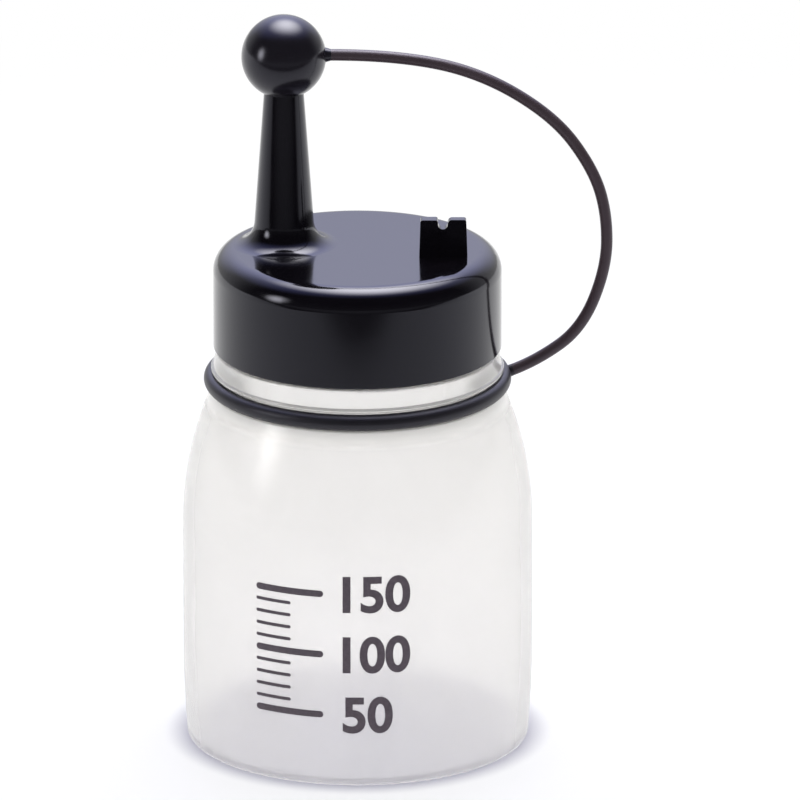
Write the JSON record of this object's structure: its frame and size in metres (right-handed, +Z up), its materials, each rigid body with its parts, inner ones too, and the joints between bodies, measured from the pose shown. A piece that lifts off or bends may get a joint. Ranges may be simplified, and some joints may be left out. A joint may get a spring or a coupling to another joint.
{
  "type": "squeeze dressing bottle",
  "caption": "Soft round squeeze bottle with a screw cap, an off-centre tapered pouring spout, and a ball stopper tethered by a looped strap to a ring round the neck.",
  "frame": {"origin": "middle of the bottle's foot, on the surface that it stands on", "axes": "+Z up along the bottle's axis; +X towards the side where the strap meets the neck ring; the spout stands near -X"},
  "size_m": [0.0886, 0.0722, 0.1535],
  "materials": {
    "frosted_polyethylene": "translucent, softly frosted",
    "black_polypropylene": "high gloss, moulded",
    "black_soft_polyethylene": "glossy, moulded, flexible",
    "white_silicone": "matt, moulded"
  },
  "bodies": {
    "bottle": {"bottle": "frosted_polyethylene"},
    "neck_ring": {"neck_ring": "black_soft_polyethylene", "tether_strap": "black_soft_polyethylene"},
    "screw_cap": {"screw_cap": "black_polypropylene", "cap_gasket": "white_silicone"},
    "spout_cap": {"spout_cap": "black_soft_polyethylene"}
  },
  "joints": [
    {"name": "cap_unscrew", "type": "hinge", "parent": "bottle", "child": "neck_ring", "pos_m": [0, 0, 0.077], "axis": [0, 0, 1], "range_deg": [0, 540]},
    {"name": "cap_lift", "type": "slide", "parent": "neck_ring", "child": "screw_cap", "axis": [0, 0, 1], "range_m": [0, 0.00631], "deforming": ["tether_strap"]},
    {"name": "ball_pull", "type": "slide", "parent": "screw_cap", "child": "spout_cap", "axis": [0, 0, 1], "range_m": [0, 0.01], "deforming": ["tether_strap"]}
  ],
  "couplings": [
    {"joint": "cap_lift", "follows": "cap_unscrew", "m_per_rad": 0.00066845}
  ]
}
